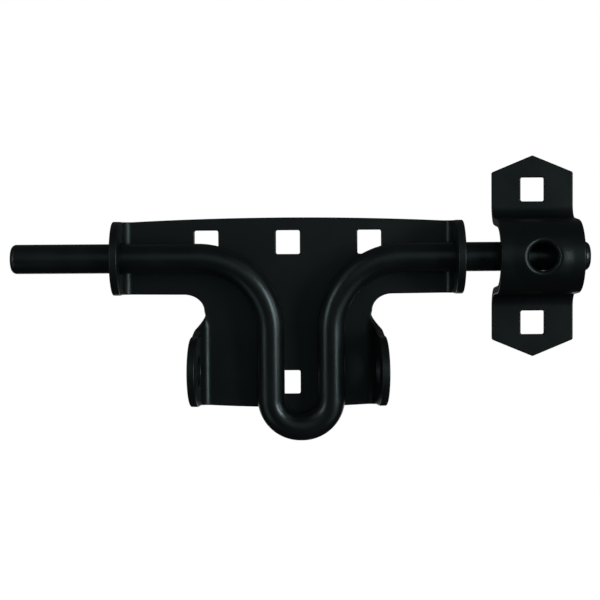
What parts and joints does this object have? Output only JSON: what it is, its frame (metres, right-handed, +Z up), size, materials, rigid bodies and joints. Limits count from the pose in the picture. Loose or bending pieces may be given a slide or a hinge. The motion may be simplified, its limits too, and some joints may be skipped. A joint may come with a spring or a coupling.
{
  "type": "sliding bolt latch",
  "caption": "Gate latch: a folded backing plate with padlock ears guides a round bolt with a U handle, which slides into a saddle keeper on the post. Satin black paint.",
  "frame": {"origin": "on the wall face, midway between the plate's end flanges and level with the bolt's axis", "axes": "+X along the bolt towards the keeper, +Y into the wall, +Z up"},
  "size_m": [0.2502, 0.034, 0.1247],
  "materials": {
    "plate_paint": "satin black paint with a slight orange peel",
    "bolt_paint": "satin black paint with a slight orange peel",
    "keeper_paint": "satin black paint with a slight orange peel"
  },
  "bodies": {
    "fixed_parts": {"latch_plate": "plate_paint", "keeper": "keeper_paint"},
    "bolt": {"slide_bolt": "bolt_paint"}
  },
  "joints": [
    {"name": "bolt_slide", "type": "slide", "parent": "fixed_parts", "child": "bolt", "axis": [1, 0, 0], "range_m": [-0.0242, 0.0131]}
  ]
}
